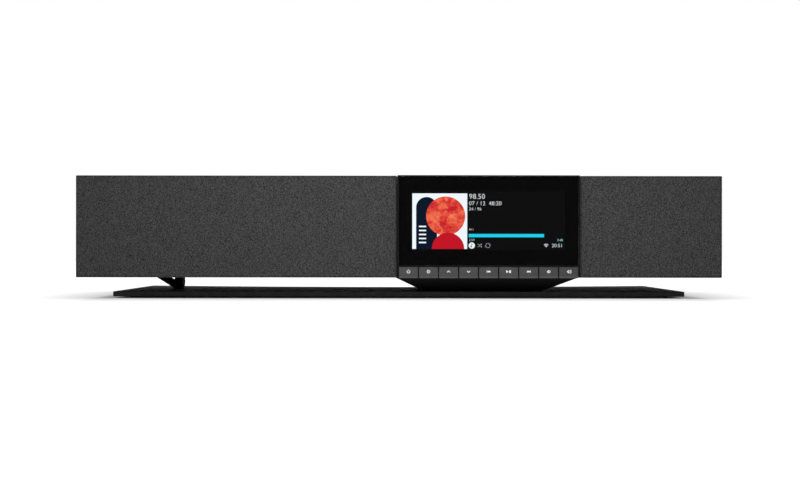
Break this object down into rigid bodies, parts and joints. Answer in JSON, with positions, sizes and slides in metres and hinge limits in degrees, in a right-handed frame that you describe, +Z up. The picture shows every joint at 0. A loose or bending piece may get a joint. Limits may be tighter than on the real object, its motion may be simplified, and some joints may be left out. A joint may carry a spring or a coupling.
{
  "type": "all-in-one wireless speaker",
  "caption": "Long low wireless speaker with cloth grilles, an off-centre display over a row of keys, and a cabinet carried on a neck and a leg above a thin base plate.",
  "frame": {"origin": "on the floor, at the middle of the overall width and depth", "axes": "+Z up, the front with the grilles and the display faces -Y, +X to the listener's right"},
  "size_m": [0.678, 0.29, 0.1314],
  "materials": {
    "baffle_board": "matt black board",
    "black_aluminium": "satin black anodised plate",
    "black_plastic": "fine textured black",
    "black_steel": "powder coated steel",
    "cabinet": "satin black lacquered board",
    "casting": "satin black painted casting",
    "circuit_board": "solder mask",
    "cone_material": "matt grey composite",
    "contact_metal": "nickel plated",
    "display_frame": "black anodised",
    "foot_rubber": "matt black rubber",
    "grille_cloth": "charcoal woven cloth",
    "heat_sink_metal": "plain extrusion",
    "key_plastic": "satin charcoal",
    "ribbon_film": "flat film lead",
    "screen_glass": "black cover glass",
    "screen_panel": "unlit panel",
    "socket_plastic": "black moulding",
    "socket_steel": "tinned shield",
    "steel_parts": "plated steel",
    "surround_rubber": "black butyl rubber",
    "switch_plastic": "switch bodies",
    "tweeter_plastic": "black moulding with a treated dome"
  },
  "bodies": {
    "speaker": {"base_plate": "black_aluminium", "base_feet": "foot_rubber", "pedestal_neck": "casting", "support_leg": "casting", "cabinet_wrap": "cabinet", "front_baffle": "baffle_board", "chamber_dividers": "baffle_board", "rear_panel": "black_plastic", "bay_frame": "black_plastic", "socket_plate": "black_steel", "left_grille_frame": "black_plastic", "right_grille_frame": "black_plastic", "left_grille_cloth": "grille_cloth", "right_grille_cloth": "grille_cloth", "woofer_frames": "steel_parts", "midrange_frames": "steel_parts", "tweeters": "tweeter_plastic", "surrounds": "surround_rubber", "display_housing": "display_frame", "display_glass": "screen_glass", "lcd_panel": "screen_panel", "display_board": "circuit_board", "key_board": "circuit_board", "main_board": "circuit_board", "power_supply": "circuit_board", "amplifier_board": "circuit_board", "display_ribbon": "ribbon_film", "key_switches": "switch_plastic", "ethernet_socket": "socket_steel", "usb_socket": "socket_steel", "hdmi_socket": "socket_steel", "optical_socket": "socket_plastic", "mains_inlet": "socket_plastic", "inlet_pins": "contact_metal", "signal_jack": "contact_metal", "heat_sink": "heat_sink_metal"},
    "power_key": {"power_key": "key_plastic"},
    "source_key": {"source_key": "key_plastic"},
    "up_key": {"up_key": "key_plastic"},
    "down_key": {"down_key": "key_plastic"},
    "previous_key": {"previous_key": "key_plastic"},
    "play_key": {"play_key": "key_plastic"},
    "next_key": {"next_key": "key_plastic"},
    "quieter_key": {"quieter_key": "key_plastic"},
    "louder_key": {"louder_key": "key_plastic"},
    "left_woofer_diaphragm": {"left_woofer_diaphragm": "cone_material"},
    "right_woofer_diaphragm": {"right_woofer_diaphragm": "cone_material"},
    "left_midrange_diaphragm": {"left_midrange_diaphragm": "cone_material"},
    "right_midrange_diaphragm": {"right_midrange_diaphragm": "cone_material"},
    "bass_radiator": {"bass_radiator": "cone_material"},
    "optical_shutter": {"optical_shutter": "socket_plastic"}
  },
  "joints": [
    {"name": "power_press", "type": "slide", "parent": "speaker", "child": "power_key", "axis": [0, 1, 0], "range_m": [0, 0.0006], "stiffness_N_per_m": 800},
    {"name": "source_press", "type": "slide", "parent": "speaker", "child": "source_key", "axis": [0, 1, 0], "range_m": [0, 0.0006], "stiffness_N_per_m": 800},
    {"name": "up_press", "type": "slide", "parent": "speaker", "child": "up_key", "axis": [0, 1, 0], "range_m": [0, 0.0006], "stiffness_N_per_m": 800},
    {"name": "down_press", "type": "slide", "parent": "speaker", "child": "down_key", "axis": [0, 1, 0], "range_m": [0, 0.0006], "stiffness_N_per_m": 800},
    {"name": "previous_press", "type": "slide", "parent": "speaker", "child": "previous_key", "axis": [0, 1, 0], "range_m": [0, 0.0006], "stiffness_N_per_m": 800},
    {"name": "play_press", "type": "slide", "parent": "speaker", "child": "play_key", "axis": [0, 1, 0], "range_m": [0, 0.0006], "stiffness_N_per_m": 800},
    {"name": "next_press", "type": "slide", "parent": "speaker", "child": "next_key", "axis": [0, 1, 0], "range_m": [0, 0.0006], "stiffness_N_per_m": 800},
    {"name": "quieter_press", "type": "slide", "parent": "speaker", "child": "quieter_key", "axis": [0, 1, 0], "range_m": [0, 0.0006], "stiffness_N_per_m": 800},
    {"name": "louder_press", "type": "slide", "parent": "speaker", "child": "louder_key", "axis": [0, 1, 0], "range_m": [0, 0.0006], "stiffness_N_per_m": 800},
    {"name": "left_woofer_stroke", "type": "slide", "parent": "speaker", "child": "left_woofer_diaphragm", "axis": [0, 1, 0], "range_m": [-0.003, 0.003], "stiffness_N_per_m": 1500},
    {"name": "right_woofer_stroke", "type": "slide", "parent": "speaker", "child": "right_woofer_diaphragm", "axis": [0, 1, 0], "range_m": [-0.003, 0.003], "stiffness_N_per_m": 1500},
    {"name": "left_midrange_stroke", "type": "slide", "parent": "speaker", "child": "left_midrange_diaphragm", "axis": [0, 1, 0], "range_m": [-0.0015, 0.0015], "stiffness_N_per_m": 1200},
    {"name": "right_midrange_stroke", "type": "slide", "parent": "speaker", "child": "right_midrange_diaphragm", "axis": [0, 1, 0], "range_m": [-0.0015, 0.0015], "stiffness_N_per_m": 1200},
    {"name": "bass_radiator_stroke", "type": "slide", "parent": "speaker", "child": "bass_radiator", "axis": [0, 1, 0], "range_m": [-0.004, 0.004], "stiffness_N_per_m": 1500},
    {"name": "optical_shutter_hinge", "type": "hinge", "parent": "speaker", "child": "optical_shutter", "pos_m": [0.051, 0.12485, 0.0671], "axis": [-1, 0, 0], "range_deg": [0, 80], "stiffness_Nm_per_rad": 0.0002}
  ]
}
